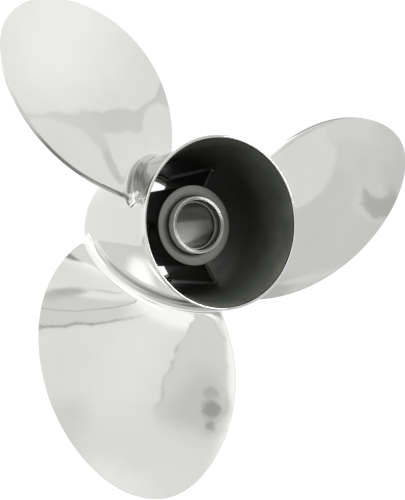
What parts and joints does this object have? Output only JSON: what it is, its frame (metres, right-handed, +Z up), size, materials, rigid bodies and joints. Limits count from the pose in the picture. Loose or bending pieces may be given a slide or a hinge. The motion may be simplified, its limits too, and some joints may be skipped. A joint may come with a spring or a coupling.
{
  "type": "outboard boat propeller",
  "caption": "Polished stainless steel boat propeller: swept blades on a flared exhaust barrel, with a ribbed inner hub and a stepped shaft bore.",
  "frame": {"origin": "on the shaft axis, in the plane of the inner hub's forward face", "axes": "+Y along the shaft, pointing ahead, out of the barrel's forward end; +Z up with blade 1 at the upper left as seen from aft"},
  "size_m": [0.3228, 0.126, 0.3262],
  "materials": {
    "barrel_steel": "polished",
    "hub_steel": "satin",
    "rib_steel": "matte",
    "blade_steel": "polished"
  },
  "bodies": {
    "root": {"exhaust_barrel": "barrel_steel", "inner_hub": "hub_steel", "rib_1": "rib_steel", "rib_2": "rib_steel", "rib_3": "rib_steel", "blade_1": "blade_steel", "blade_2": "blade_steel", "blade_3": "blade_steel"}
  },
  "joints": []
}
